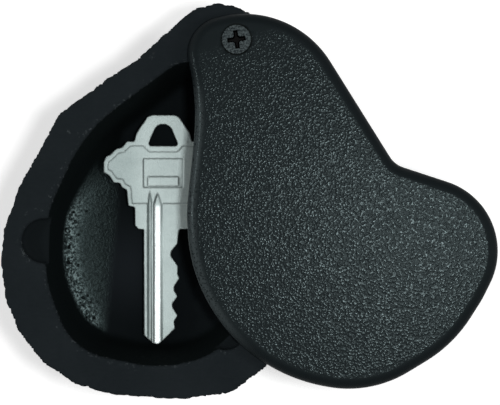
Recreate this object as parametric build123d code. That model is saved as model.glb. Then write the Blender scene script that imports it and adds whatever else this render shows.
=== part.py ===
from build123d import *
import math
import os

# A key safe cast to look like a field stone, lying turned over on its crown as it is when
# someone opens it. The hollow faces up, and the cover is swung aside on its one screw.
# Millimetres, +Z up. The origin is on the flat of the crown, below the middle of the hollow.

# --- rock: corners (x, y) of its sanded rim, and the dome below it ---
rock_height = 40.0
rim_outline = [
    (16.8, 51.8), (10.7, 50.4), (4.8, 45.5), (-3.9, 37.4), (-10.8, 33.3), (-16.5, 28.6),
    (-22.3, 24.8), (-25.6, 18.7), (-28.7, 12.8), (-32.2, 6.9), (-34.4, 0.0), (-35.9, -5.6),
    (-36.4, -11.8), (-35.5, -20.4), (-32.0, -28.8), (-26.2, -36.0), (-18.4, -41.3), (-9.4, -44.0),
    (0.0, -44.8), (9.6, -44.9), (19.4, -43.6), (27.5, -37.8), (31.7, -31.7), (31.0, -22.0),
    (29.5, -12.0), (29.8, 1.0), (32.0, 14.6), (34.9, 29.3), (33.4, 40.2), (27.3, 47.6), (22.0, 50.8),
]
crown_share = 0.42
dome_rings = 6
dome_fullness = 0.8
facet_relief = 0.03
facet_beat = 2.4
facet_ring_beat = 1.9
facet_cross_beat = 1.1
facet_cross_ring_beat = 2.7
facet_level_beat = 3.7
crown_shift_x = 1.0
crown_shift_y = 1.5

# --- hollow: corners (x, y, corner radius) of its mouth at the rim ---
hollow_mouth = [
    (12.8, 41.9, 10.1), (-15.9, 20.5, 37.7), (-25.3, 0.3, 25.7), (-25.8, -15.2, 30.6),
    (-19.3, -33.1, 15.3), (2.1, -37.6, 28.0), (25.5, -32.2, 20.0), (24.6, 24.0, 22.0),
]
hollow_depth = 17.5
hollow_draft = 13.0
hollow_floor_radius = 3.5
slope_angle = 25.0
slope_foot_x = -10.5
slope_foot_y = -24.2
slope_foot_lean = 5.5

# --- two shallow half-round pockets in the edge of the hollow: (x, y, radius) ---
edge_pockets = [(-25.9, -6.3, 5.4), (18.5, -28.0, 4.9)]
pocket_depth = 2.8
pocket_floor_radius = 0.8

# --- pivot: the plug cast in the rock, and the countersunk screw in it ---
pivot_x = 21.1
pivot_y = 42.6
anchor_radius = 3.6
anchor_length = 16.0
anchor_collar_radius = 4.3
anchor_collar_height = 1.4
anchor_collars = 3
anchor_first_collar = 3.4
anchor_collar_pitch = 4.6
anchor_cast_gap = 0.03
screw_head_radius = 3.5
screw_head_land = 0.3
screw_head_angle = 82.0
screw_shank_radius = 1.75
screw_core_radius = 1.25
screw_thread_pitch = 1.3
screw_threads = 8
screw_tip_length = 1.6
screw_tip_radius = 0.3
screw_thread_gap = 0.02
screw_turn = 8.0
recess_span = 4.5
recess_arm = 1.15
recess_heart = 2.1
recess_depth = 1.7
recess_taper = 12.0

# --- cover: corners (x, y, corner radius) from the pivot, in the open position ---
cover_outline = [
    (-13.6, 3.1, 9.2), (13.2, 10.2, 24.6), (38.5, -30.3, 6.1), (70.8, -40.9, 17.7), (59.8, -63.1, 27.5),
    (52.8, -74.1, 33.1), (32.6, -86.4, 28.0), (-10.5, -78.2, 40.5), (-12.1, -41.2, 26.2), (-9.4, -15.0, 56.0),
]
cover_thickness = 4.0
cover_face_thickness = 2.2
cover_skirt_thickness = 2.2
cover_edge_radius = 2.6
cover_gap = 0.1
cover_boss_radius = 6.0
pivot_clearance = 0.06
head_clearance = 0.06
head_below_face = 0.1

# --- key: half of its bow (mirrored), then its blade down the cut side and back up ---
key_x = 2.5
key_y = 10.9
key_thickness = 2.0
key_seat_gap = 0.08
key_corner_radius = 0.35
key_bow_half = [
    (2.9, 14.0), (4.0, 13.5), (6.7, 9.5), (7.2, 7.4), (9.1, 7.4), (10.4, 5.8), (11.7, 5.6),
    (13.2, 4.1), (14.3, 3.6), (14.9, 2.2), (14.9, -0.3), (13.6, -1.0), (12.3, -2.9), (10.8, -3.0),
    (10.3, -4.1), (9.1, -4.7), (8.7, -8.7), (7.1, -9.0), (7.0, -13.6), (6.2, -14.5),
]
key_blade = [
    (4.1, -14.5), (3.8, -16.0), (3.6, -18.1), (2.0, -20.1), (1.9, -21.1), (3.7, -23.8), (3.6, -25.6),
    (4.1, -26.8), (2.8, -28.7), (2.7, -29.8), (3.6, -31.3), (2.3, -33.1), (2.4, -34.1), (3.6, -36.1),
    (2.7, -37.6), (3.0, -39.3), (-1.2, -43.4), (-2.5, -43.1), (-4.8, -41.0), (-4.8, -14.5),
]
key_ring_hole = [(-3.9, 6.3, 0.6), (-1.6, 11.7, 2.2), (1.6, 11.7, 2.2), (3.9, 6.3, 0.6)]
key_sunk_half = [
    (3.5, 4.9), (4.9, 6.4), (8.2, 6.4), (9.8, 4.8), (11.2, 4.6), (12.7, 3.0), (13.5, 2.6),
    (13.9, 1.8), (13.9, 0.3), (12.9, -0.2), (11.7, -2.0), (10.2, -2.1), (9.6, -3.3), (8.2, -4.0), (7.9, -8.2),
]
key_sunk_radius = 0.25
key_sunk_depth = 0.2
key_panel_width = 10.0
key_panel_height = 7.4
key_panel_y = -0.5
key_panel_depth = 0.25
key_bar_width = 7.6
key_bar_height = 2.2
key_bar_y = -2.6
key_groove_top_x = -1.4
key_groove_top_width = 1.7
key_groove_side_x = -3.3
key_groove_side_width = 0.6
key_groove_under_x = 0.6
key_groove_under_width = 2.0
key_groove_depth = 0.6
key_groove_flare = 35.0
key_groove_start = -5.8
key_groove_point = 2.4
key_groove_end = -45.0

# --- worked out from the sizes above ---
floor_z = rock_height - hollow_depth
cover_z = rock_height + cover_gap
cover_top_z = cover_z + cover_thickness
screw_top_z = cover_top_z - head_below_face
screw_reach = screw_thread_pitch * screw_threads + screw_thread_pitch / 2 + screw_tip_length
head_cone_height = (screw_head_radius - screw_shank_radius) / math.tan(math.radians(screw_head_angle / 2))
slope_rise = math.tan(math.radians(slope_angle))
slope_lean = math.radians(slope_foot_lean)


def rounded_face(corners):
    """A flat face from corners that are each (x, y, corner radius)."""
    points = [(x, y) for x, y, radius in corners]
    radii = [radius for x, y, radius in corners]
    return make_face(FilletPolyline(*points, radius=radii, close=True))


def evenly_rounded_face(points, radius):
    return rounded_face([(x, y, radius) for x, y in points])


def drawn_in(corners, distance):
    """A clockwise rounded outline drawn in by a distance: tighter bends, wider hollows."""
    inner = []
    for i, (x, y, radius) in enumerate(corners):
        after = corners[(i + 1) % len(corners)]
        into = math.atan2(y - corners[i - 1][1], x - corners[i - 1][0])
        out = math.atan2(after[1] - y, after[0] - x)
        half_turn = math.remainder(out - into, math.tau) / 2
        shift = distance / math.cos(half_turn)
        middle = into + half_turn - math.pi / 2
        tighter = math.copysign(distance, -half_turn)
        inner.append((x + shift * math.cos(middle), y + shift * math.sin(middle), radius - tighter))
    return inner


def turned(profile, x, y, z):
    """A profile of (radius, height) points spun about a vertical axis."""
    spun = revolve(make_face(Polyline(*[(r, 0, h) for r, h in profile], close=True)), Axis.Z)
    return Pos(x, y, z) * spun


# --- rock ---
def dome_ring(ring):
    """One ring of the dome, from the rim (0) to the edge of the crown's flat (dome_rings)."""
    turn = math.pi / 2 * ring / dome_rings
    share = crown_share + (1 - crown_share) * math.cos(turn) ** dome_fullness
    drop = math.sin(turn)
    points = []
    for place, (x, y) in enumerate(rim_outline):
        rough = math.sin(facet_beat * place + facet_ring_beat * ring)
        rough += math.sin(facet_cross_beat * place - facet_cross_ring_beat * ring)
        relief = facet_relief * math.sin(2 * turn)
        grow = share * (1 + relief * rough)
        level = rock_height * (1 - drop + relief * math.sin(facet_level_beat * place + ring))
        points.append(Vector(x * grow + crown_shift_x * drop, y * grow + crown_shift_y * drop, level))
    return points


def stone():
    """A closed stone of flat triangles: a level rim, rings of facets and a flat crown."""
    rings = [dome_ring(ring) for ring in range(dome_rings + 1)]
    count = len(rim_outline)
    faces = [Face(Wire.make_polygon(rings[0], close=True)), Face(Wire.make_polygon(rings[-1], close=True))]
    for upper, lower in zip(rings, rings[1:]):
        for i in range(count):
            j = (i + 1) % count
            for corners in ((upper[i], upper[j], lower[i]), (upper[j], lower[j], lower[i])):
                faces.append(Face(Wire.make_polygon(corners, close=True)))
    return Solid(Shell(faces))


def slope_block():
    """What stays standing in the hollow: everything under the slanted plane on its left."""
    reach = 2 * rock_height
    profile = Polyline((0, 0), (-reach, reach * slope_rise), (-reach, -reach), (0, -reach), close=True)
    block = extrude(Plane.XZ * make_face(profile), amount=reach, both=True)
    return Pos(slope_foot_x, slope_foot_y, floor_z) * Rot(0, 0, -slope_foot_lean) * block


def hollow():
    """The space for the key: drafted walls, a rounded floor edge and the slope on the left."""
    mouth = Pos(0, 0, rock_height) * rounded_face(hollow_mouth)
    space = extrude(mouth, amount=-hollow_depth, taper=hollow_draft)
    floor = space.faces().sort_by(Axis.Z)[0]
    return fillet(floor.edges(), hollow_floor_radius) - slope_block()


def edge_pocket(x, y, radius):
    space = Pos(x, y, rock_height) * extrude(Circle(radius), amount=-pocket_depth)
    return fillet(space.faces().sort_by(Axis.Z)[0].edges(), pocket_floor_radius)


def rock_body():
    rock = stone() - hollow() - anchor_shape(anchor_cast_gap)
    for x, y, radius in edge_pockets:
        rock = rock - edge_pocket(x, y, radius)
    return rock


# --- plug and screw ---
def anchor_shape(grow):
    """The plug's outside, larger by grow: a stem with collars that lock it in the casting."""
    profile = [(0, 0), (anchor_radius + grow, 0)]
    for collar in range(anchor_collars):
        top = -anchor_first_collar - anchor_collar_pitch * collar
        low = top - anchor_collar_height
        profile.append((anchor_radius + grow, top + grow))
        profile.append((anchor_collar_radius + grow, top + grow))
        profile.append((anchor_collar_radius + grow, low - grow))
        profile.append((anchor_radius + grow, low - grow))
    profile.append((anchor_radius + grow, -anchor_length - grow))
    profile.append((0, -anchor_length - grow))
    return turned(profile, pivot_x, pivot_y, rock_height)


def screw_anchor():
    bore = extrude(Circle(screw_shank_radius + screw_thread_gap), amount=-screw_reach)
    return anchor_shape(0) - Pos(pivot_x, pivot_y, rock_height) * bore


def head_profile(grow):
    """Half of the countersunk head, from its flat top down to the shank."""
    return [
        (0, 0), (screw_head_radius + grow, 0), (screw_head_radius + grow, -screw_head_land - grow / 2),
        (screw_shank_radius + grow, -screw_head_land - head_cone_height - grow / 2),
    ]


def cross_recess():
    cross = Rectangle(recess_span, recess_arm) + Rectangle(recess_arm, recess_span)
    cross = cross + Rot(0, 0, 45) * Rectangle(recess_heart, recess_heart)
    return extrude(cross, amount=-recess_depth, taper=recess_taper)


def pivot_screw():
    """Smooth shank through the cover, then a ridged thread and a point in the plug."""
    thread_top = rock_height - screw_top_z
    profile = head_profile(0) + [(screw_shank_radius, thread_top)]
    for ridge in range(screw_threads):
        crest = thread_top - screw_thread_pitch * (ridge + 1)
        profile.append((screw_core_radius, crest + screw_thread_pitch / 2))
        profile.append((screw_shank_radius, crest))
    profile.append((screw_core_radius, crest - screw_thread_pitch / 2))
    tip = crest - screw_thread_pitch / 2 - screw_tip_length
    profile.append((screw_tip_radius, tip))
    profile.append((0, tip))
    screw = turned(profile, 0, 0, 0) - Rot(0, 0, screw_turn) * cross_recess()
    return Pos(pivot_x, pivot_y, screw_top_z) * screw


# --- cover ---
def cover():
    """A moulded lid with a rounded edge, hollow below, and a boss where the screw passes."""
    outline = rounded_face(cover_outline)
    lid = extrude(outline, amount=cover_thickness)
    lid = fillet(lid.faces().sort_by(Axis.Z)[-1].edges(), cover_edge_radius)
    inside = rounded_face(drawn_in(cover_outline, cover_skirt_thickness))
    inside = extrude(inside, amount=cover_thickness - cover_face_thickness)
    lid = lid - (inside - Cylinder(cover_boss_radius, 4 * cover_thickness))
    lid = lid - Cylinder(screw_shank_radius + pivot_clearance, 4 * cover_thickness)
    sink = turned(head_profile(head_clearance) + [(0, -screw_head_land - head_cone_height)], 0, 0, 0)
    top = extrude(Circle(screw_head_radius + head_clearance), amount=cover_thickness)
    lid = lid - Pos(0, 0, cover_thickness - head_below_face) * (sink + top)
    return Pos(pivot_x, pivot_y, cover_z) * lid


# --- key ---
def key_outline():
    mirrored = [(-x, y) for x, y in reversed(key_bow_half)]
    return evenly_rounded_face(key_bow_half + key_blade + mirrored, key_corner_radius)


def key_groove(x, width):
    """A groove milled along the blade with slanted sides, and a pointed run-out into the bow."""
    half = width / 2
    shoulder = key_groove_start - key_groove_point
    shape = Polyline(
        (x - half, key_groove_end), (x + half, key_groove_end), (x + half, shoulder),
        (x, key_groove_start), (x - half, shoulder), close=True,
    )
    return extrude(make_face(shape), amount=key_groove_depth, taper=-key_groove_flare)


def flat_key():
    key = extrude(key_outline(), amount=key_thickness)
    key = key - extrude(rounded_face(key_ring_hole), amount=key_thickness)
    sunk = evenly_rounded_face(key_sunk_half + [(-x, y) for x, y in reversed(key_sunk_half)], key_sunk_radius)
    key = key - Pos(0, 0, key_thickness - key_sunk_depth) * extrude(sunk, amount=key_thickness)
    panel = Pos(0, key_panel_y) * Rectangle(key_panel_width, key_panel_height)
    panel = panel - Pos(0, key_bar_y) * Rectangle(key_bar_width, key_bar_height)
    upper = Pos(0, 0, key_thickness - key_sunk_depth - key_panel_depth)
    key = key - upper * extrude(panel, amount=key_thickness)
    milled = Pos(0, 0, key_thickness - key_groove_depth)
    key = key - milled * key_groove(key_groove_top_x, key_groove_top_width)
    key = key - milled * key_groove(key_groove_side_x, key_groove_side_width)
    turned_over = Pos(0, 0, key_groove_depth) * Rot(0, 180, 0)
    return key - turned_over * key_groove(-key_groove_under_x, key_groove_under_width)


def key():
    """The key as it lies: right side of its bow on the floor, left side up on the slope."""
    bow_half_width = max(x for x, y in key_bow_half)
    bow_high_y = key_y + max(y for x, y in key_bow_half if x == bow_half_width)
    foot_x = slope_foot_x + (bow_high_y - slope_foot_y) * math.tan(slope_lean)
    past_foot = max(0, foot_x - (key_x - bow_half_width)) * math.cos(slope_lean)
    tilt = math.degrees(math.asin((past_foot * slope_rise + key_seat_gap) / (2 * bow_half_width)))
    laid = Pos(bow_half_width, 0, 0) * Rot(0, tilt, 0) * Pos(-bow_half_width, 0, 0) * flat_key()
    return Pos(key_x, key_y, floor_z) * laid


os.makedirs("parts", exist_ok=True)
nodes = {
    "rock_body": rock_body(),
    "screw_anchor": screw_anchor(),
    "pivot_screw": pivot_screw(),
    "cover": cover(),
    "key": key(),
}
for name, shape in nodes.items():
    export_step(shape, f"parts/{name}.step")
    print(name, round(shape.volume, 1), "mm3")
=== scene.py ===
# %% [markdown]
# # A rock that hides a key
# This is a cast resin rock, turned over on its crown. A flat plastic cover turns aside on one
# screw, and a house key lies in the hollow. The shapes, sizes and joints come from a packed
# frame of exact solids, so nothing here is moved or resized. The cells below only give each
# piece its skin: broken stone, moulded grain, milled metal. Lengths are in metres, and in
# millimetres inside the materials.

# %% Load the frame
import math
import bmesh
import bpy
import numpy as np
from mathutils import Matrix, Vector
from mathutils.bvhtree import BVHTree
from mathutils.kdtree import KDTree


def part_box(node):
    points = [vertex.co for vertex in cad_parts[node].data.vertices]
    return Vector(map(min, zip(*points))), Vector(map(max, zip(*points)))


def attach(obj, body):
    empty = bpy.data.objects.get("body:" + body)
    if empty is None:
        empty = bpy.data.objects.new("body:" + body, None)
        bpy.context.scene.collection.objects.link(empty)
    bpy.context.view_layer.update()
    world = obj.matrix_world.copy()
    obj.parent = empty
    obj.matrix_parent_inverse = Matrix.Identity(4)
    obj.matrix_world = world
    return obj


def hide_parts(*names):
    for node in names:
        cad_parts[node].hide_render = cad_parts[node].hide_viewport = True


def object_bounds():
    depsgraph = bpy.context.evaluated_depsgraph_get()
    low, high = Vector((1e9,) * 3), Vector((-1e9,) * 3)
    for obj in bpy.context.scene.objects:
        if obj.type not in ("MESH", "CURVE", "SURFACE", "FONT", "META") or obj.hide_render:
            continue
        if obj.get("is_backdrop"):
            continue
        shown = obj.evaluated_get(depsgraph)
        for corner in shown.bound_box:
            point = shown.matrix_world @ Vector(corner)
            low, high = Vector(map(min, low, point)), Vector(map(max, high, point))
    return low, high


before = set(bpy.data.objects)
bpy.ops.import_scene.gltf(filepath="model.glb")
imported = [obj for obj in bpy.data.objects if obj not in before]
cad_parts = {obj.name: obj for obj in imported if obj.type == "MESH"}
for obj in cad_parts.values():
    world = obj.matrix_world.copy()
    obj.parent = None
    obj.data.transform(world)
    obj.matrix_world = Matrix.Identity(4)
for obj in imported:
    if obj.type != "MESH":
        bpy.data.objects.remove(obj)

CAD_LOW, CAD_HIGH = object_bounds()
MM = 0.001
print("frame box, mm:", [round(v / MM, 1) for v in (*CAD_LOW, *CAD_HIGH)])

# %% [markdown]
# ## Where things are
# Every later step needs a few levels: the rim of the rock, the floor of the hollow and the
# screw. They could be typed in, but reading them from the frame keeps the skin on the solids.

# %% Levels read from the frame
ROCK_LOW, ROCK_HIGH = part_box("rock_body")
SCREW_LOW, SCREW_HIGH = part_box("pivot_screw")
KEY_LOW, KEY_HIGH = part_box("key")
RIM_Z = ROCK_HIGH[2]
FLOOR_Z = KEY_LOW[2]
COVER_TOP_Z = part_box("cover")[1][2]
PIVOT = (Vector(SCREW_LOW) + Vector(SCREW_HIGH)) / 2
PIVOT.z = COVER_TOP_Z
print("rim, mm:", round(RIM_Z / MM, 2))
print("floor of the hollow, mm:", round(FLOOR_Z / MM, 2))
print("pivot, mm:", [round(v / MM, 2) for v in PIVOT])

# %% [markdown]
# ## Writing shaders as sums
# Node trees grow unreadable when every Math node is wired by hand. A small class wraps a
# socket, so that `1 - mask * 0.5` adds the nodes itself. Every other node comes from one method.

# %% Sums of sockets
class Value:
    """One output of a node. Sums with numbers or other values add Math nodes."""

    def __init__(self, finish, socket):
        self.finish = finish
        self.socket = socket

    def _math(self, operation, first, second, clamp=False):
        settings = {"operation": operation, "use_clamp": clamp}
        return self.finish.node("ShaderNodeMath", settings, {0: first, 1: second})

    def __add__(self, other):
        return self._math("ADD", self, other)

    __radd__ = __add__

    def __sub__(self, other):
        return self._math("SUBTRACT", self, other)

    def __rsub__(self, other):
        return self._math("SUBTRACT", other, self)

    def __mul__(self, other):
        return self._math("MULTIPLY", self, other)

    __rmul__ = __mul__

    def above(self, low, high):
        """0 up to low, 1 from high on, and a smooth step between."""
        ends = {"Value": self, "From Min": low, "From Max": high}
        return self.finish.node("ShaderNodeMapRange", {"interpolation_type": "SMOOTHSTEP"}, ends)

    def clipped(self):
        return self._math("ADD", self, 0.0, clamp=True)


# %% Node trees for looks
class Finish:
    """The node tree of a material, or of the world, being made."""

    def __init__(self, owner):
        owner.use_nodes = True
        self.owner = owner
        self.tree = owner.node_tree
        self.tree.nodes.clear()
        self.place = self.scaled(self.node("ShaderNodeTexCoord", out="Object"), 1 / MM)

    def node(self, kind, settings=None, sockets=None, out=0):
        """A node of that type. Its settings are set first, then each socket's value or link."""
        made = self.tree.nodes.new(kind)
        for key, value in (settings or {}).items():
            setattr(made, key, value)
        for key, value in (sockets or {}).items():
            if isinstance(value, Value):
                self.tree.links.new(value.socket, made.inputs[key])
            else:
                made.inputs[key].default_value = value
        return Value(self, made.outputs[out]) if made.outputs else None

    def vector(self, operation, first, second, out=0):
        return self.node("ShaderNodeVectorMath", {"operation": operation}, {0: first, 1: second}, out)

    def scaled(self, vector, amount):
        return self.node("ShaderNodeVectorMath", {"operation": "SCALE"}, {0: vector, "Scale": amount})

    def stretched(self, x, y, z):
        """Places scaled along each axis, for streaks."""
        return self.vector("MULTIPLY", self.place, (x, y, z))

    def part(self, vector, axis):
        """One coordinate of a vector."""
        return self.node("ShaderNodeSeparateXYZ", sockets={0: vector}, out=axis)

    def attribute(self, name):
        return self.node("ShaderNodeAttribute", {"attribute_name": name}, out="Fac")

    def grain(self, size, detail=2.0, roughness=0.5, place=None):
        """Noise whose blotches are about size millimetres across."""
        shape = {"Scale": 1 / size, "Detail": detail, "Roughness": roughness}
        return self.node("ShaderNodeTexNoise", sockets={"Vector": place or self.place, **shape})

    def cells(self, size, feature="F1"):
        """How far each place is from the middle of a cell, with cells about size millimetres wide."""
        sockets = {"Vector": self.place, "Scale": 1 / size}
        return self.node("ShaderNodeTexVoronoi", {"feature": feature}, sockets, "Distance")

    def blend(self, factor, first, second):
        """Colour first where factor is 0, second where it is 1."""
        settings = {"data_type": "RGBA", "clamp_factor": True}
        return self.node("ShaderNodeMix", settings, {0: factor, 6: first, 7: second}, out=2)

    def bump(self, height, depth, strength=1.0, under=None):
        """Normals of a relief of that depth, in millimetres."""
        sockets = {"Height": height, "Distance": depth * MM, "Strength": strength}
        if under:
            sockets["Normal"] = under
        return self.node("ShaderNodeBump", sockets=sockets)

    def shader(self, **sockets):
        """A Principled shader. The names are those of its sockets, with _ for each space."""
        sockets = {name.replace("_", " "): value for name, value in sockets.items()}
        return self.node("ShaderNodeBsdfPrincipled", sockets=sockets)

    def mixed(self, factor, first, second):
        """Shader first where factor is 0, second where it is 1."""
        return self.node("ShaderNodeMixShader", sockets={0: factor, 1: first, 2: second})

    def done(self, shader, output="ShaderNodeOutputMaterial"):
        self.node(output, sockets={"Surface": shader})
        return self.owner


def new_finish(name):
    return Finish(bpy.data.materials.new(name))


def rgb(red, green, blue):
    return (red, green, blue, 1.0)


# %% [markdown]
# ## The camera
# The camera looks straight down from about 60 cm above the rim. A nearer one would show more of
# the hollow's walls than the photograph does, and a farther one less. The lens follows from that
# distance and from how many pixels a millimetre takes at the rim.

# %% Camera
PX_PER_MM = 4.1
IMAGE_WIDTH = 500
CAMERA_X = 24.39 * MM
CAMERA_Y = 3.05 * MM
CAMERA_ABOVE_RIM = 600 * MM
SENSOR_WIDTH = 36.0
CLIP_START = 0.01
CLIP_END = 10.0


def add_camera():
    data = bpy.data.cameras.new("camera")
    data.sensor_fit = "HORIZONTAL"
    data.sensor_width = SENSOR_WIDTH
    data.lens = CAMERA_ABOVE_RIM / MM * PX_PER_MM / IMAGE_WIDTH * SENSOR_WIDTH
    data.clip_start = CLIP_START
    data.clip_end = CLIP_END
    camera = bpy.data.objects.new("camera", data)
    camera.location = (CAMERA_X, CAMERA_Y, RIM_Z + CAMERA_ABOVE_RIM)
    bpy.context.scene.collection.objects.link(camera)
    bpy.context.scene.camera = camera
    return camera


camera = add_camera()
bpy.context.scene.view_settings.view_transform = "Standard"
print("lens, mm:", round(camera.data.lens, 1))

# %% [markdown]
# ## Lamps
# The main light stands a little to the right of the camera, since the cover throws only a narrow
# shadow to its left, on the key. A low light on the right puts a sheen on the slope in the hollow,
# where painted sheen adds to it, and one on the left lights the left edge of the cover, which is
# also painted lighter. Each level is given as a share of a light that shows a colour as it is
# written, so the parts can be added up.

# %% Three soft lamps
LIGHT_AIM = Vector((CAMERA_X, CAMERA_Y, RIM_Z))
LAMPS = {
    "top_light": {"tilt": 8, "compass": -8, "distance": 0.6, "size": 0.06, "share": 0.46},
    "right_light": {"tilt": 55, "compass": 0, "distance": 0.8, "size": 0.20, "share": 0.24},
    "left_light": {"tilt": 64, "compass": 178, "distance": 0.9, "size": 0.14, "share": 0.34},
}


def add_lamp(name, tilt, compass, distance, size, share):
    """A square lamp, tilted from straight above towards a compass angle (0 is +X)."""
    data = bpy.data.lights.new(name, "AREA")
    data.size = size
    data.energy = share * math.pi ** 2 * distance ** 2
    lamp = bpy.data.objects.new(name, data)
    lean = math.radians(tilt)
    turn = math.radians(compass)
    away = Vector((math.sin(lean) * math.cos(turn), math.sin(lean) * math.sin(turn), math.cos(lean)))
    lamp.location = LIGHT_AIM + away * distance
    lamp.rotation_mode = "QUATERNION"
    lamp.rotation_quaternion = (-away).to_track_quat("-Z", "Y")
    bpy.context.scene.collection.objects.link(lamp)
    print(name, "watts:", round(data.energy, 2))


for lamp_name, lamp_settings in LAMPS.items():
    add_lamp(lamp_name, **lamp_settings)

# %% [markdown]
# ## White ground
# The ground of the photograph is white. Turning the lights up until the floor clips would bleach
# the key, so the floor and the world are white only where the camera sees them, or sees their
# reflection. The object itself gets plain light, and the floor keeps its shadow.

# %% World and floor
SKY_LEVEL = 0.30
FLOOR_GLOW = 0.45
FLOOR_REACH = 1.5


def white_where_seen(finish, level):
    """1 for rays from the camera or through gloss or glass, and that level for all others."""
    camera_ray = finish.node("ShaderNodeLightPath", out="Is Camera Ray")
    outputs = camera_ray.socket.node.outputs
    glossy_ray = Value(finish, outputs["Is Glossy Ray"])
    transmission_ray = Value(finish, outputs["Is Transmission Ray"])
    seen = (camera_ray + glossy_ray + transmission_ray).clipped()
    return level + seen * (1 - level)


def add_world():
    sky = Finish(bpy.data.worlds.new("studio"))
    light = sky.node("ShaderNodeBackground", sockets={"Strength": white_where_seen(sky, SKY_LEVEL)})
    bpy.context.scene.world = sky.done(light, "ShaderNodeOutputWorld")


def add_floor():
    r = FLOOR_REACH
    mesh = bpy.data.meshes.new("floor")
    mesh.from_pydata([(-r, -r, 0), (r, -r, 0), (r, r, 0), (-r, r, 0)], [], [(0, 1, 2, 3)])
    floor = bpy.data.objects.new("floor", mesh)
    bpy.context.scene.collection.objects.link(floor)
    pale = new_finish("pale_floor")
    surface = pale.shader(
        Base_Color=rgb(0.8, 0.8, 0.8), Roughness=0.9, Specular_IOR_Level=0.0,
        Emission_Color=rgb(1, 1, 1), Emission_Strength=white_where_seen(pale, 0.0) * FLOOR_GLOW,
    )
    mesh.materials.append(pale.done(surface))
    floor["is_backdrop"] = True


add_world()
add_floor()
print("world level:", SKY_LEVEL, "floor, m:", 2 * FLOOR_REACH)

# %% [markdown]
# ## Copies to work on
# A frame node is loose triangles that must not change. So each piece that gets more shape than
# its solid starts from a merged copy, and the copy stands for the node in the picture.

# %% Copies and their corners
MERGE_DISTANCE = 0.002 * MM


def merged_copy(node, name):
    """A copy of a frame node's mesh with its doubled corners joined."""
    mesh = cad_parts[node].data.copy()
    mesh.name = name
    work = bmesh.new()
    work.from_mesh(mesh)
    bmesh.ops.remove_doubles(work, verts=work.verts, dist=MERGE_DISTANCE)
    work.to_mesh(mesh)
    work.free()
    mesh.materials.clear()
    piece = bpy.data.objects.new(name, mesh)
    bpy.context.scene.collection.objects.link(piece)
    return piece


def made_plain(piece):
    """Works a piece's modifiers into its mesh, and removes them."""
    graph = bpy.context.evaluated_depsgraph_get()
    worked = piece.evaluated_get(graph)
    mesh = bpy.data.meshes.new_from_object(worked, preserve_all_data_layers=True, depsgraph=graph)
    piece.modifiers.clear()
    piece.data = mesh
    return piece


def remeshed_copy(node, name, voxel):
    """A copy of a node as an even net of small squares."""
    piece = merged_copy(node, name)
    remesh = piece.modifiers.new("remesh", "REMESH")
    remesh.mode = "VOXEL"
    remesh.voxel_size = voxel
    return made_plain(piece)


def read_corners(mesh, what):
    """The places ("co") or normals ("normal") of a mesh's corners."""
    flat = np.empty(len(mesh.vertices) * 3)
    mesh.vertices.foreach_get(what, flat)
    return flat.reshape(-1, 3)


def move_corners(mesh, points):
    mesh.vertices.foreach_set("co", points.ravel())
    mesh.update()


def store(mesh, name, values):
    """Keeps one number per corner of the mesh, for a node tree to read."""
    layer = mesh.attributes.new(name, "FLOAT", "POINT")
    layer.data.foreach_set("value", np.ascontiguousarray(values, dtype=np.float32))


def shade_smooth(mesh):
    mesh.polygons.foreach_set("use_smooth", [True] * len(mesh.polygons))


# %% Smooth steps and the last calls on a piece
def rising(values, start, width):
    """0 up to start, 1 from start + width on, and a smooth step between."""
    x = np.clip((values - start) / width, 0, 1)
    return x * x * (3 - 2 * x)


def falling(values, start, width):
    """1 up to start, 0 from start + width on."""
    return rising(-values, -start - width, width)


def kept_inside(mesh, low, high):
    """Brings back any corner that noise or averaging has pushed out of its solid's box."""
    move_corners(mesh, np.clip(read_corners(mesh, "co"), low, high))


def dress(piece, material, node, body):
    """Gives a finished piece its material and its place in the frame."""
    piece.data.materials.clear()
    piece.data.materials.append(material)
    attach(piece, body)
    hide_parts(node)
    print(piece.name, len(piece.data.polygons), "faces")


# %% [markdown]
# ## The rock's skin
# The real rock is resin poured in a rubber mould of broken stone, then sanded flat across the
# hollow. One could sculpt it, or bump it in the shader, but a bump leaves the outline smooth.
# Here the solid is remeshed finely, each corner learns how far it is from the sanded rim, and a
# node tree pushes noise into the broken sides only, so the rim stays flat and its edge is ragged.

# %% Remesh the rock
ROCK_VOXEL = 0.52 * MM

rock = remeshed_copy("rock_body", "rock_skin", ROCK_VOXEL)
print("rock corners:", len(rock.data.vertices))

# %% [markdown]
# ## Which corner is where
# The rim is the only level place at the top, so its corners give two outlines as seen from above:
# the outer edge and the hollow's mouth. Each is kept as a distance for each compass direction.
# Normals tell the rest apart: the hollow's walls lean back and face up a little, and the broken
# sides face down. A corner wrongly taken for the hollow would stay behind as a tooth in the side.

# %% Outlines by direction
DIRECTIONS = 720


def directions_of(points):
    turn = np.arctan2(points[:, 1], points[:, 0])
    return turn / math.tau % 1 * DIRECTIONS


def from_middle(points, middle=(0.0, 0.0)):
    """How far each point is from an upright line, seen from above."""
    return np.hypot(points[:, 0] - middle[0], points[:, 1] - middle[1])


def outline(edge_points, farthest):
    """How far the given points reach, or come near, in each compass direction."""
    place = directions_of(edge_points).astype(int) % DIRECTIONS
    reach = np.full(DIRECTIONS, -np.inf if farthest else np.inf)
    pick = np.maximum if farthest else np.minimum
    pick.at(reach, place, from_middle(edge_points))
    known = np.isfinite(reach)
    steps = np.arange(DIRECTIONS)
    return np.interp(steps, steps[known], reach[known], period=DIRECTIONS)


def read_outline(points, reach):
    return np.interp(directions_of(points), np.arange(DIRECTIONS), reach, period=DIRECTIONS)


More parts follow.
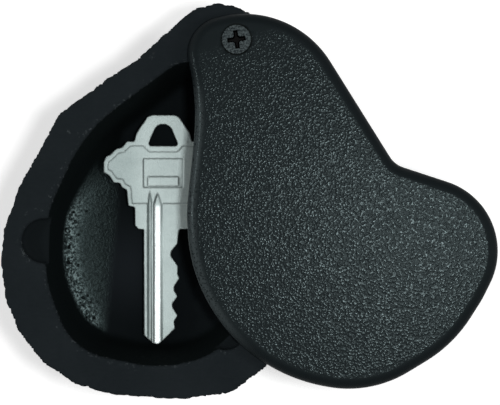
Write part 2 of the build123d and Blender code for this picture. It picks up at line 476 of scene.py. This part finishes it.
# %% Store the places on the rock
RIM_BAND = 0.35 * MM
EDGE_BAND = 3.0 * MM
MOUTH_SHARE = 0.4
BELOW_FLOOR = 1.0 * MM
EDGE_POCKETS = ((-25.9, -6.3, 5.4), (18.5, -28.0, 4.9))
POCKET_MARGIN = 0.4
POCKET_DEPTH = 3.2 * MM
# Pockets get this share of the hollow's painted shade.
POCKET_PAINTED_SHADE = 0.55
BORE_REACH = 4.8 * MM
BORE_DEPTH = 17.0 * MM
BORE_WALL = 4.0 * MM
CROWN_FLAT = 0.3 * MM
CROWN_BLEND = 4.0 * MM
CHIPS_WIDTH = 0.9 * MM
CHIPS_DEPTH = 0.8 * MM


def near_pockets(points):
    near = np.zeros(len(points), dtype=bool)
    for x, y, radius in EDGE_POCKETS:
        near |= from_middle(points, (x * MM, y * MM)) < (radius + POCKET_MARGIN) * MM
    return near & (points[:, 2] > RIM_Z - POCKET_DEPTH)


def learn_rock_places(mesh):
    """Stores where each corner is, and gives back which ones are in the hollow."""
    points = read_corners(mesh, "co")
    normals = read_corners(mesh, "normal")
    height = points[:, 2]
    on_rim = points[np.abs(height - RIM_Z) < RIM_BAND]
    outer = read_outline(points, outline(on_rim, farthest=True))
    mouth = read_outline(points, outline(on_rim, farthest=False))
    away = from_middle(points)
    low = height < RIM_Z - RIM_BAND
    inward = away < mouth + MOUTH_SHARE * (outer - mouth)
    in_hollow = low & inward & (normals[:, 2] > 0) & (height > FLOOR_Z - BELOW_FLOOR)
    in_pocket = low & near_pockets(points)

    from_pivot = from_middle(points, PIVOT)
    beside_bore = height > RIM_Z - BORE_DEPTH - BORE_WALL
    facing_pivot = (normals[:, :2] * (points[:, :2] - np.array(PIVOT.xy))).sum(1) <= 0
    in_bore = (from_pivot < BORE_REACH) & beside_bore & facing_pivot
    thick_enough = np.where(beside_bore, rising(from_pivot, BORE_REACH, BORE_WALL), 1)

    outside = low & ~in_hollow & ~in_pocket & ~in_bore
    above_crown = rising(height, CROWN_FLAT, CROWN_BLEND)
    at_mouth = falling(np.abs(away - mouth), 0, CHIPS_WIDTH)
    store(mesh, "broken", outside.astype(float))
    store(mesh, "push", outside * thick_enough * above_crown)
    store(mesh, "rim_edge", rising(away - outer, -EDGE_BAND, EDGE_BAND) * ~in_hollow * ~in_bore)
    # In colour, this mask paints the hollow and the pockets darker as shade.
    store(mesh, "hollow", np.where(in_pocket, POCKET_PAINTED_SHADE, in_hollow))
    store(mesh, "chips", at_mouth * (height > RIM_Z - CHIPS_DEPTH))
    return in_hollow


rock_in_hollow = learn_rock_places(rock.data)
print("corners in the hollow:", int(rock_in_hollow.sum()))

# %% [markdown]
# ## The slope in the hollow
# On the left the hollow has a slope that lifts the key's bow. The solid meets the wall in a sharp
# corner there, but resin always leaves a rounded one. Averaging each corner with its neighbours,
# only near that meeting line, rounds it and leaves every other place as it was.

# %% Round the corner between slope and wall
SLOPE_ANGLE = math.radians(25)
SLOPE_FOOT = np.array((-10.5, -24.2)) * MM
SLOPE_LEAN = math.radians(5.5)
SLOPE_UPHILL = np.array((-math.cos(SLOPE_LEAN), math.sin(SLOPE_LEAN)))
SLOPE_BEGINS = (1.0 * MM, 3.0 * MM)
UNDER_SLOPE = 0.6 * MM
ROUNDING = 5.0 * MM
ROUNDING_PASSES = 90
PASS_SHARE = 0.7


def up_the_slope(points):
    """How far each point is from the slope's foot, and how high above the slope's plane."""
    along = (points[:, :2] - SLOPE_FOOT) @ SLOPE_UPHILL
    return along, points[:, 2] - FLOOR_Z - along * math.tan(SLOPE_ANGLE)


def averaged(mesh, points, share, passes):
    """Moves each corner towards the middle of its neighbours, by its own share, many times."""
    ends = np.empty(len(mesh.edges) * 2, dtype=np.int64)
    mesh.edges.foreach_get("vertices", ends)
    first, second = ends.reshape(-1, 2).T
    moving = np.flatnonzero(share > 0)
    near = (share[first] > 0) | (share[second] > 0)
    first, second = first[near], second[near]
    count = np.bincount(np.concatenate((first, second)), minlength=len(points))
    points = points.copy()
    for _ in range(passes):
        total = np.zeros_like(points)
        for k in range(3):
            total[:, k] += np.bincount(first, points[second, k], len(points))
            total[:, k] += np.bincount(second, points[first, k], len(points))
        middle = total[moving] / count[moving, None]
        points[moving] += (middle - points[moving]) * share[moving, None] * PASS_SHARE
    return points


def round_slope(mesh):
    points = read_corners(mesh, "co")
    along, above = up_the_slope(points)
    share = rock_in_hollow * falling(above, 0, ROUNDING) * rising(along, *SLOPE_BEGINS)
    share *= above > -UNDER_SLOPE
    move_corners(mesh, averaged(mesh, points, share, ROUNDING_PASSES))
    print("corners rounded:", int((share > 0).sum()))


round_slope(rock.data)

# %% [markdown]
# ## Where the hollow shines
# The slope has a waxy skin. A strip beside the wall, which fades towards the key's bow, is painted
# sheen: the glossy shader and painted glints are strongest there, where the light falls. The sheen
# stops just short of the rounded corner. So each corner of the slope is told how far the wall is,
# from the wall's own corners a little higher up. The hollow's floor also gets a pool of painted light.

# %% Store the painted sheen and the painted light on the floor
WALL_FOOT_HEIGHTS = (1.6 * MM, 3.0 * MM)
SLOPE_SKIN = 1.2 * MM
SHINE_FROM_WALL = (0.9 * MM, 0.8 * MM)
SHINE_UP_SLOPE = (0.0, 4.0 * MM)
SHINE_FADES_Y = (6.0 * MM, 9.0 * MM)
STRIP_FROM_WALL = (2.0 * MM, 5.0 * MM)
STRIP_FADES_Y = (-2.0 * MM, 11.0 * MM)
LEAST_SHEEN = 0.28
FEWEST_PITS = 0.30
FLOOR_LIGHT = (-6.0 * MM, -13.0 * MM)
FLOOR_LIGHT_REACH = 17.0 * MM
FLOOR_BAND = 1.5 * MM
LEAST_LIGHT = 0.3


def gap_to_wall(points, along, above):
    """How far each corner of the slope is from the wall beside it. Others get 0."""
    low, high = WALL_FOOT_HEIGHTS
    wall = KDTree(len(points))
    for place in np.flatnonzero(rock_in_hollow & (above > low) & (above < high)):
        wall.insert((*points[place, :2], 0), int(place))
    wall.balance()
    gap = np.zeros(len(points))
    for place in np.flatnonzero(rock_in_hollow & (above < SLOPE_SKIN) & (along > 0)):
        gap[place] = wall.find((*points[place, :2], 0))[2]
    return gap


def learn_shine(mesh):
    points = read_corners(mesh, "co")
    along, above = up_the_slope(points)
    gap = gap_to_wall(points, along, above)
    on_slope = rising(gap, *SHINE_FROM_WALL) * rising(along, *SHINE_UP_SLOPE)
    on_slope *= falling(points[:, 1], *SHINE_FADES_Y)
    # The strip and its fading towards the top are painted sheen, put where the light falls on the slope.
    strip = falling(gap, *STRIP_FROM_WALL) * falling(points[:, 1], *STRIP_FADES_Y)
    store(mesh, "sheen", on_slope * (LEAST_SHEEN + (1 - LEAST_SHEEN) * strip))
    # Pits, and the painted glints, both follow the strip.
    store(mesh, "pits_and_glints", on_slope * (FEWEST_PITS + (1 - FEWEST_PITS) * strip))

    # A pool of painted light on the hollow's floor, left of the key; the walls get none and stay in
    # painted shade.
    lit = falling(from_middle(points, FLOOR_LIGHT), 0, FLOOR_LIGHT_REACH)
    on_floor = rock_in_hollow * falling(points[:, 2] - FLOOR_Z, 0, FLOOR_BAND)
    store(mesh, "painted_floor_light", on_floor * (LEAST_LIGHT + (1 - LEAST_LIGHT) * lit))
    print("shiny part of the slope:", int((on_slope > 0.5).sum()), "corners")


learn_shine(rock.data)

# %% [markdown]
# ## Broken stone
# The sides are broken stone: flat facets, which the solid has, with hollows of about 7 mm and
# a fine roughness on them, which it hasn't. A node tree adds both by moving each corner along its
# normal. A level near the middle of the noise is taken off it first, so the skin lies partly
# inside the solid's surface and partly outside. At the rim's edge corners only sway sideways, so
# the rim stays flat.

# %% Node trees for shapes
class Tree:
    """A node tree for shapes, with the same two habits as the shader helper."""

    def __init__(self, name, inputs):
        self.tree = bpy.data.node_groups.new(name, "GeometryNodeTree")
        ends = self.tree.interface
        ends.new_socket("Geometry", in_out="INPUT", socket_type="NodeSocketGeometry")
        ends.new_socket("Geometry", in_out="OUTPUT", socket_type="NodeSocketGeometry")
        for label, kind in inputs.items():
            ends.new_socket(label, in_out="INPUT", socket_type=kind)
        self.start = self.tree.nodes.new("NodeGroupInput")

    def given(self, label):
        return self.start.outputs[label]

    def node(self, kind, settings=None, sockets=None, out=0):
        made = self.tree.nodes.new(kind)
        for key, value in (settings or {}).items():
            setattr(made, key, value)
        for key, value in (sockets or {}).items():
            if isinstance(value, bpy.types.NodeSocket):
                self.tree.links.new(value, made.inputs[key])
            else:
                made.inputs[key].default_value = value
        return made.outputs[out]

    def attribute(self, name):
        return self.node("GeometryNodeInputNamedAttribute", {"data_type": "FLOAT"}, {"Name": name})

    def maths(self, operation, first, second):
        return self.node("ShaderNodeMath", {"operation": operation}, {0: first, 1: second})

    def vector(self, operation, first, second):
        return self.node("ShaderNodeVectorMath", {"operation": operation}, {0: first, 1: second})

    def scaled(self, vector, amount):
        return self.node("ShaderNodeVectorMath", {"operation": "SCALE"}, {0: vector, "Scale": amount})

    def finish(self, geometry, material):
        """Ends the tree in real geometry with its material set."""
        real = self.node("GeometryNodeRealizeInstances", None, {0: geometry})
        sockets = {"Geometry": real, "Material": material}
        dressed = self.node("GeometryNodeSetMaterial", None, sockets)
        end = self.tree.nodes.new("NodeGroupOutput")
        self.tree.links.new(dressed, end.inputs[0])


def use_tree(piece, tree, values):
    """Adds the tree to a piece with its inputs set by identifier, and works it into the mesh."""
    modifier = piece.modifiers.new(tree.tree.name, "NODES")
    modifier.node_group = tree.tree
    for item in tree.tree.interface.items_tree:
        if item.item_type == "SOCKET" and item.in_out == "INPUT" and item.name in values:
            modifier[item.identifier] = values[item.name]
    return made_plain(piece)


# %% The tree of the broken sides
RAGGED_SHIFT = (0.5, 0.5, 0.5)
MIDDLE_GREY = (0.5, 0.5, 0.5)
LEVEL_ONLY = (1.0, 1.0, 0.0)


def broken_stone_tree():
    """Moves corners along their normals by two sizes of noise, and sideways at the rim's edge."""
    lengths = ("Coarse size", "Fine size", "Coarse depth", "Fine depth", "Ragged depth")
    inputs = dict.fromkeys((*lengths, "Middle level"), "NodeSocketFloat")
    inputs["Material"] = "NodeSocketMaterial"
    tree = Tree("broken_stone", inputs)
    place = tree.node("GeometryNodeInputPosition")

    def noise(size, detail, roughness, out=0, shift=(0.0, 0.0, 0.0)):
        scale = tree.maths("DIVIDE", 1.0, tree.given(size))
        sockets = {"Vector": tree.vector("ADD", place, shift), "Scale": scale}
        sockets.update({"Detail": detail, "Roughness": roughness})
        return tree.node("ShaderNodeTexNoise", None, sockets, out)

    def cut(height, depth):
        from_middle_level = tree.maths("SUBTRACT", height, tree.given("Middle level"))
        return tree.maths("MULTIPLY", from_middle_level, tree.given(depth))

    coarse = cut(noise("Coarse size", 3.0, 0.55), "Coarse depth")
    fine = cut(noise("Fine size", 3.0, 0.6), "Fine depth")
    outward = tree.maths("MULTIPLY", tree.maths("ADD", coarse, fine), -1.0)
    outward = tree.maths("MULTIPLY", outward, tree.attribute("push"))
    push = tree.scaled(tree.node("GeometryNodeInputNormal"), outward)

    ragged = noise("Fine size", 2.0, 0.6, out="Color", shift=RAGGED_SHIFT)
    sideways = tree.vector("MULTIPLY", tree.vector("SUBTRACT", ragged, MIDDLE_GREY), LEVEL_ONLY)
    amount = tree.maths("MULTIPLY", tree.given("Ragged depth"), tree.attribute("rim_edge"))
    sway = tree.scaled(sideways, amount)

    sockets = {"Geometry": tree.given("Geometry"), "Offset": tree.vector("ADD", push, sway)}
    tree.finish(tree.node("GeometryNodeSetPosition", None, sockets), tree.given("Material"))
    return tree


stone_tree = broken_stone_tree()
print("broken stone:", len(stone_tree.tree.nodes), "nodes")

# %% [markdown]
# ## Charcoal resin
# The casting is one dark colour all through. Where it was sanded or broken it is dull and dusty.
# In the hollow it lay against a polished core, so it is waxy, and most so on the slope, where air
# bubbles also left pits. That is two shaders, mixed by the numbers stored on the mesh. The hollow's
# walls, its pockets and its pits are painted darker as shade, its floor is painted lighter as a
# pool of light, and the slope has painted sheen and painted glints.

# %% Rock finish
SANDED = rgb(0.0070, 0.0092, 0.0108), rgb(0.0145, 0.0180, 0.0205)
BROKEN = rgb(0.0130, 0.0145, 0.0155), rgb(0.0480, 0.0510, 0.0520)
HOLLOW_SHADE_AND_FLOOR_LIGHT = rgb(0.0018, 0.0026, 0.0028), rgb(0.0125, 0.0155, 0.0185)
WAXY = rgb(0.0070, 0.0110, 0.0120), rgb(0.0130, 0.0180, 0.0190)
CHIPPED = rgb(0.060, 0.070, 0.073)
PAINTED_GLINT = rgb(0.080, 0.100, 0.102)
PIT_PAINTED_SHADE = rgb(0.0020, 0.0030, 0.0030)
RESIN_TINT = rgb(0.70, 1.0, 1.0)
CLOUD_SIZE = 14.0
DUST_SIZE = 1.1
STREAK_SIZE = 1.0
SMALL_PITS = 0.8
LARGE_PITS = 2.1
RIPPLE_SIZE = 0.7
CHIP_SIZE = 0.9
DUST_DEPTH = 0.14
PIT_RELIEF = 0.35
RIPPLE_DEPTH = 0.22


def dull_resin(stone, dust, cloud, streak, pit):
    """Colour of the resin wherever it doesn't shine, with painted shade in the hollow, its pockets and
    its pits, and painted light on the hollow's floor.
    """
    mottle = (cloud * 0.9 + dust * 0.5 + streak * 0.4 - 0.4).clipped()
    dusted = (dust * 0.8 + cloud * 0.5 - 0.2).clipped()
    chip = stone.grain(CHIP_SIZE, 3.0, 0.7).above(0.56, 0.66) * stone.attribute("chips")
    colour = stone.blend(mottle, *SANDED)
    colour = stone.blend(stone.attribute("broken"), colour, stone.blend(dusted, *BROKEN))
    # The hollow's walls and pockets are painted near black as shade, and its floor lighter as painted
    # light.
    inside = stone.blend(stone.attribute("painted_floor_light"), *HOLLOW_SHADE_AND_FLOOR_LIGHT)
    colour = stone.blend(stone.attribute("hollow"), colour, inside)
    colour = stone.blend(chip * 0.7, colour, CHIPPED)
    # Pits are painted near black as shade.
    return stone.blend(pit, colour, PIT_PAINTED_SHADE)


def rock_finish():
    stone = new_finish("charcoal_resin")
    pits_and_glints = stone.attribute("pits_and_glints")
    cloud = stone.grain(CLOUD_SIZE, 4.0, 0.6)
    dust = stone.grain(DUST_SIZE, 4.0, 0.7)
    streak = stone.grain(STREAK_SIZE, 3.0, 0.6, stone.stretched(0.35, 1.6, 1.0))
    ripple = stone.grain(RIPPLE_SIZE, 3.0, 0.65)
    small_pit = 1 - stone.cells(SMALL_PITS).above(0.28, 0.44)
    large_pit = 1 - stone.cells(LARGE_PITS).above(0.20, 0.27)
    pit = ((small_pit * 0.8 + large_pit) * pits_and_glints).clipped()

    roughness = dust * 0.6 + streak * 0.3 * (1 - stone.attribute("hollow"))
    relief = stone.bump(roughness, DUST_DEPTH, 0.8)
    relief = stone.bump(pit, PIT_RELIEF, -0.9, under=relief)
    dull = stone.shader(
        Base_Color=dull_resin(stone, dust, cloud, streak, pit), Roughness=0.80 + dust * 0.15,
        Normal=relief, Specular_IOR_Level=0.05, Specular_Tint=RESIN_TINT,
    )
    # Painted glints: the slope's resin is painted lighter on ripple tops in the bright strip.
    painted_light = ripple.above(0.47, 0.60) * pits_and_glints.above(0.30, 1.0)
    waxy = stone.shader(
        Base_Color=stone.blend(painted_light, stone.blend(cloud, *WAXY), PAINTED_GLINT),
        Roughness=0.26 + ripple * 0.10, Normal=stone.bump(ripple, RIPPLE_DEPTH, under=relief),
        Specular_IOR_Level=1.0, Specular_Tint=RESIN_TINT,
    )
    # The glossy shader goes where the painted sheen and painted glints are.
    glint = 1 - pits_and_glints * (1 - ripple.above(0.44, 0.58)) * 0.80
    shine = (stone.attribute("sheen") * glint * (1 - pit)).clipped()
    return stone.done(stone.mixed(shine, dull, waxy))


# %% Break the stone and dress the rock
rock_material = rock_finish()
rock = use_tree(rock, stone_tree, {
    "Coarse size": 7.0 * MM, "Coarse depth": 3.0 * MM,
    "Fine size": 1.6 * MM, "Fine depth": 0.6 * MM,
    "Ragged depth": 0.9 * MM, "Middle level": 0.42, "Material": rock_material,
})
shade_smooth(rock.data)
kept_inside(rock.data, ROCK_LOW, ROCK_HIGH)
dress(rock, rock_material, "rock_body", "rock")

# %% [markdown]
# ## The cover
# The cover is one moulding. Its flat face was cut in the tool with a leather grain, and the
# rounded edge and the end round the screw were left smooth. The solid already has the shape, so
# its copy is only cut by a grid, to have corners that can tell how far the edge is.

# %% Cut the cover by a grid and learn the distance to its edge
COVER_GRID = 1.5 * MM
CUT_TOLERANCE = 1e-7
WALL_STEEPNESS = 0.3
EDGE_ROUND = 2.2 * MM
OUTSIDE_STEP = 0.5 * MM
SCREW_HOLE = 4.5 * MM
UP = Vector((0, 0, 1))


def cut_by_grid(mesh, step):
    work = bmesh.new()
    work.from_mesh(mesh)
    low = [min(v.co[k] for v in work.verts) for k in range(3)]
    high = [max(v.co[k] for v in work.verts) for k in range(3)]
    for axis in (0, 1):
        normal = Vector((axis == 0, axis == 1, 0))
        for line in range(1, int((high[axis] - low[axis]) / step)):
            everything = work.verts[:] + work.edges[:] + work.faces[:]
            place = normal * (low[axis] + line * step)
            bmesh.ops.bisect_plane(
                work, geom=everything, plane_co=place, plane_no=normal, dist=CUT_TOLERANCE,
            )
    work.to_mesh(mesh)
    work.free()


def outer_wall(mesh, points):
    """Places on the outline, seen from above. A corner of a wall is on the outline when nothing
    of the cover lies above the place just outside it. Walls of the screw hole don't count."""
    normals = read_corners(mesh, "normal")
    faces = [tuple(face.vertices) for face in mesh.polygons]
    solid = BVHTree.FromPolygons([v.co for v in mesh.vertices], faces)
    steep = np.abs(normals[:, 2]) < WALL_STEEPNESS
    wall = np.flatnonzero(steep & (points[:, 2] < COVER_TOP_Z - EDGE_ROUND))
    outside = [Vector(points[i] + normals[i] * OUTSIDE_STEP) for i in wall]
    open_above = [i for i, place in zip(wall, outside) if solid.ray_cast(place, UP)[0] is None]
    edge = points[open_above]
    return edge[from_middle(edge, PIVOT) > SCREW_HOLE][:, :2]


def learn_cover_edge(mesh):
    """Stores how far each corner is from the outline, in millimetres."""
    points = read_corners(mesh, "co")
    edge = outer_wall(mesh, points)
    gap = np.array([np.sqrt(((edge - p) ** 2).sum(1).min()) for p in points[:, :2]]) / MM
    store(mesh, "edge_gap", gap)
    print("widest place of the cover, mm from its edge:", round(float(gap.max()), 1))


cover = merged_copy("cover", "cover_shell")
cut_by_grid(cover.data, COVER_GRID)
learn_cover_edge(cover.data)
shade_smooth(cover.data)

# %% [markdown]
# ## Leather grain
# The grain is pebbles about half a millimetre across. Modelled, they would need millions of
# faces, so a bump of soft Voronoi cells makes them, and the valleys between them get a darker,
# duller shader as painted shade. The grain fades at the rounded edge, and later on the left than
# elsewhere. It stops at the end round the screw, where the tool was left polished. The left edge is
# painted lighter as painted light, and the gap round the screw is painted near black as shade.

# %% Where the cover is grained
TOWARDS_END = (-0.3, 0.95, 0)
LEFT_SIDE = (-8.0, 6.0)
FADE_ELSEWHERE = (1.6, 3.4)
FADE_ON_LEFT = (-0.6, 0.4)
FADE_AT_END = (-2.5, 1.5)
LIT_EDGE_WIDTH = (1.0, 2.8)
LIT_EDGE_ENDS = (-16.0, -4.0)
RING_INSIDE = (3.5, 3.6)
RING_OUTSIDE = (3.85, 4.0)


def cover_places(plastic):
    """Masks of the grain, the left edge painted lighter as painted light, and the ring round the screw.
    """
    gap = plastic.attribute("edge_gap")
    from_screw = plastic.vector("SUBTRACT", plastic.place, tuple(PIVOT / MM))
    away = plastic.vector("LENGTH", plastic.vector("MULTIPLY", from_screw, (1, 1, 0)), (0, 0, 0), "Value")
    towards_end = plastic.vector("DOT_PRODUCT", from_screw, TOWARDS_END, "Value")
    left = 1 - plastic.part(from_screw, "X").above(*LEFT_SIDE)
    grain = gap.above(*FADE_ELSEWHERE) * (1 - left) + gap.above(*FADE_ON_LEFT) * left
    grain = grain * (1 - towards_end.above(*FADE_AT_END))
    # Painted light on the left edge of the cover.
    painted_light = left * (1 - gap.above(*LIT_EDGE_WIDTH)) * (1 - towards_end.above(*LIT_EDGE_ENDS))
    ring = away.above(*RING_INSIDE) * (1 - away.above(*RING_OUTSIDE))
    return grain, painted_light, ring


# %% Cover finish
GRAINED_FACE = rgb(0.0042, 0.0066, 0.0072), rgb(0.0068, 0.0098, 0.0105)
SMOOTH_EDGE_AND_VALLEY_SHADE = rgb(0.0035, 0.0050, 0.0058), rgb(0.0055, 0.0075, 0.0085)
PAINTED_LIT_EDGE = rgb(0.040, 0.050, 0.052)
RING_GAP_SHADE = rgb(0.0015, 0.0020, 0.0020)
COVER_TINT = rgb(0.76, 0.98, 1.0)
PEBBLE_SIZE = 0.50
PEBBLE_RIPPLE = 0.36
PEBBLE_DEPTH = 0.046
RING_DEPTH = 0.20
TINT_SIZE = 9.0
EDGE_GRAIN = 0.3
EDGE_DEPTH = 0.02


def cover_finish():
    plastic = new_finish("grained_black_plastic")
    grain, painted_light, ring = cover_places(plastic)
    pebble = plastic.cells(PEBBLE_SIZE, "SMOOTH_F1")
    ripple = plastic.grain(PEBBLE_RIPPLE, 2.0, 0.55)
    tint = plastic.grain(TINT_SIZE, 3.0, 0.6)
    bumps = plastic.bump((ripple * 0.5 - pebble) * grain, PEBBLE_DEPTH)
    bumps = plastic.bump(ring, RING_DEPTH, -1.0, under=bumps)
    grained = plastic.shader(
        Base_Color=plastic.blend(tint, *GRAINED_FACE), Roughness=0.14 + ripple * 0.08, Normal=bumps,
        Specular_IOR_Level=0.11, Specular_Tint=COVER_TINT,
    )
    edge = plastic.blend(painted_light, plastic.blend(tint, *SMOOTH_EDGE_AND_VALLEY_SHADE), PAINTED_LIT_EDGE)
    # The ring round the screw head is painted near black as shade in the gap.
    edge = plastic.blend(ring, edge, RING_GAP_SHADE)
    faint = plastic.bump(plastic.grain(EDGE_GRAIN, 1.0), EDGE_DEPTH, 0.5, under=bumps)
    smooth = plastic.shader(
        Base_Color=edge, Roughness=0.55, Normal=faint,
        Specular_IOR_Level=0.06, Specular_Tint=COVER_TINT,
    )
    # Pebble tops get the grained shader, and the valleys between them mostly the darker, duller smooth
    # one, as painted shade.
    crest = 1 - (pebble * 1.2 - ripple * 0.35).above(0.02, 0.34)
    pebbled = (grain * (0.15 + crest * 0.85) * (1 - ring)).clipped()
    return plastic.done(plastic.mixed(pebbled, smooth, grained))


dress(cover, cover_finish(), "cover", "cover")

# %% [markdown]
# ## The key
# A key blank is stamped, so every edge and every step on it is soft. A bevel would only break the
# edges, so the solid is remeshed finely and its corners are averaged a few times. What moves in
# or out while averaging is an edge or a crease. Creases are painted darker from it as shade, and
# edges lighter, partly for wear and partly as painted highlight.

# %% Soften the key
KEY_VOXEL = 0.15 * MM
KEY_PASSES = 4
FULL_CREASE = 0.08 * MM
FULL_EDGE = 0.12 * MM


def soften(mesh, passes):
    """Averages the corners, and stores how far each edge went in and each crease came out."""
    before = read_corners(mesh, "co")
    points = averaged(mesh, before, np.ones(len(before)), passes)
    outward = ((points - before) * read_corners(mesh, "normal")).sum(1)
    move_corners(mesh, points)
    store(mesh, "crease", np.clip(outward / FULL_CREASE, 0, 1))
    store(mesh, "edge", np.clip(-outward / FULL_EDGE, 0, 1))
    print("most that an edge went in, mm:", round(float(-outward.min()) / MM, 3))


key = remeshed_copy("key", "house_key", KEY_VOXEL)
soften(key.data, KEY_PASSES)
shade_smooth(key.data)
kept_inside(key.data, KEY_LOW, KEY_HIGH)

# %% [markdown]
# ## Nickel plate
# The plate is dull silver with fine specks, and lighter towards +X. The milled groove down the
# blade is painted brighter, partly as cleaner metal and partly as painted highlight, and the strip
# beside it holds dust. Creases are painted darker as shade, and edges lighter, partly for wear and
# partly as painted highlight. All of that is colour and roughness on one metal, so one shader is
# enough.

# %% Key finish
PLATE = rgb(0.195, 0.242, 0.240), rgb(0.370, 0.430, 0.422)
MILLED_AND_HIGHLIGHT = rgb(0.52, 0.56, 0.56)
DUSTY = rgb(0.120, 0.140, 0.138)
CREASE_SHADE = rgb(0.035, 0.045, 0.045)
EDGE_WEAR_AND_HIGHLIGHT = rgb(0.58, 0.66, 0.65)
SPECK_SIZE = 0.45
STAIN_SIZE = 5.0
BRUSH_SIZE = 0.30
PLATE_RELIEF = 0.12
GROOVE_LEFT = (0.15, 0.35)
GROOVE_RIGHT = (2.0, 2.2)
GROOVE_TOP = (1.5, 3.0)
STRIP_RIGHT = (-0.2, 0.1)
STRIP_TOP = (-4.0, -3.5)
LIGHTER_TOWARDS_X = (-7.0, -1.0)


def key_finish():
    metal = new_finish("nickel_plate")
    speck = metal.grain(SPECK_SIZE, 3.0, 0.65)
    stain = metal.grain(STAIN_SIZE, 3.0, 0.55)
    brushed = metal.grain(BRUSH_SIZE, 2.0, 0.6, metal.stretched(1.0, 0.06, 1.0))
    across = metal.part(metal.place, "X")
    along = metal.part(metal.place, "Y")
    in_groove = across.above(*GROOVE_LEFT) * (1 - across.above(*GROOVE_RIGHT))
    milled = in_groove * (1 - along.above(*GROOVE_TOP))
    strip = (1 - across.above(*STRIP_RIGHT)) * (1 - along.above(*STRIP_TOP))
    # The plate gets lighter towards +X across the key.
    worn = (speck * 0.9 + stain * 0.6 - 0.3 + across.above(*LIGHTER_TOWARDS_X) * 0.4).clipped()

    colour = metal.blend(worn, *PLATE)
    # The groove is painted brighter, partly as cleaner metal and partly as painted highlight.
    colour = metal.blend(milled * 0.8, colour, MILLED_AND_HIGHLIGHT)
    colour = metal.blend(strip * speck.above(0.40, 0.60) * 0.20, colour, DUSTY)
    # Creases are painted darker as shade.
    colour = metal.blend(metal.attribute("crease") * 0.8, colour, CREASE_SHADE)
    # Edges are painted lighter, partly for wear and partly as painted highlight.
    colour = metal.blend(metal.attribute("edge") * 0.9, colour, EDGE_WEAR_AND_HIGHLIGHT)
    bumps = metal.bump(speck * 0.6 + brushed * 0.4, PLATE_RELIEF, 0.9)
    rough = 0.52 + speck * 0.14 - milled * 0.12
    return metal.done(metal.shader(Base_Color=colour, Metallic=1.0, Roughness=rough, Normal=bumps))


dress(key, key_finish(), "key", "key")

# %% [markdown]
# ## The screw
# The screw is small and turned, and its solid is right. Its copy only gets a fine bevel, since
# every real edge catches a line of light. The black oxide is rubbed on the head, and the cross
# recess, black oxide too, is painted near black as shade, going by depth below the cover's face.

# %% Bevel and dress the screw
SCREW_BEVEL = 0.06 * MM
BEVEL_ANGLE = math.radians(35)
BEVEL_STEPS = 2
OXIDE = rgb(0.006, 0.008, 0.009), rgb(0.030, 0.038, 0.039)
RECESS_SHADE = rgb(0.0010, 0.0010, 0.0010)
HEAD_BELOW_COVER = 0.1
RECESS_SHADE_DEPTHS = (0.10, 0.50)
OXIDE_SIZE = 0.5
OXIDE_DEPTH = 0.05


def bevelled_copy(node, name, width):
    piece = merged_copy(node, name)
    bevel = piece.modifiers.new("bevel", "BEVEL")
    bevel.width = width
    bevel.segments = BEVEL_STEPS
    bevel.limit_method = "ANGLE"
    bevel.angle_limit = BEVEL_ANGLE
    bevel.use_clamp_overlap = True
    return made_plain(piece)


def screw_finish():
    black = new_finish("black_oxide")
    worn = black.grain(OXIDE_SIZE, 3.0, 0.6)
    depth = (COVER_TOP_Z / MM - HEAD_BELOW_COVER) - black.part(black.place, "Z")
    colour = black.blend(worn.above(0.38, 0.62), *OXIDE)
    # The cross recess is painted near black as shade.
    colour = black.blend(depth.above(*RECESS_SHADE_DEPTHS), colour, RECESS_SHADE)
    return black.done(black.shader(
        Base_Color=colour, Metallic=0.95, Roughness=0.42 + worn * 0.15,
        Normal=black.bump(worn, OXIDE_DEPTH, 0.8),
    ))


screw = bevelled_copy("pivot_screw", "cross_screw", SCREW_BEVEL)
dress(screw, screw_finish(), "pivot_screw", "rock")

# %% [markdown]
# ## The plug in the rock
# The screw cuts its thread in a ribbed nylon plug that was cast into the resin. It is out of
# sight, and its solid is right, so it stays and only gets its material.

# %% Dress the plug
NYLON = rgb(0.42, 0.41, 0.37), rgb(0.50, 0.49, 0.45)
NYLON_CLOUD = 1.5
NYLON_DEPTH = 0.03


def anchor_finish():
    nylon = new_finish("plug_nylon")
    cloud = nylon.grain(NYLON_CLOUD, 3.0, 0.6)
    return nylon.done(nylon.shader(
        Base_Color=nylon.blend(cloud, *NYLON), Roughness=0.5 + cloud * 0.1,
        Normal=nylon.bump(cloud, NYLON_DEPTH, 0.4),
    ))


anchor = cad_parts["screw_anchor"]
anchor.data.materials.clear()
anchor.data.materials.append(anchor_finish())
print("plug material:", anchor.data.materials[0].name)

# %% [markdown]
# ## How far the skin reaches
# A skin may change how a solid looks, never how big it is, so how far the pieces reach past the
# frame's box is printed.

# %% Sizes and the last call
seen_low, seen_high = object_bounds()
seen = (*seen_low, *seen_high)
cad = (*CAD_LOW, *CAD_HIGH)
print("grown by, mm:", [round((a - b) / MM, 2) for a, b in zip(seen, cad)])
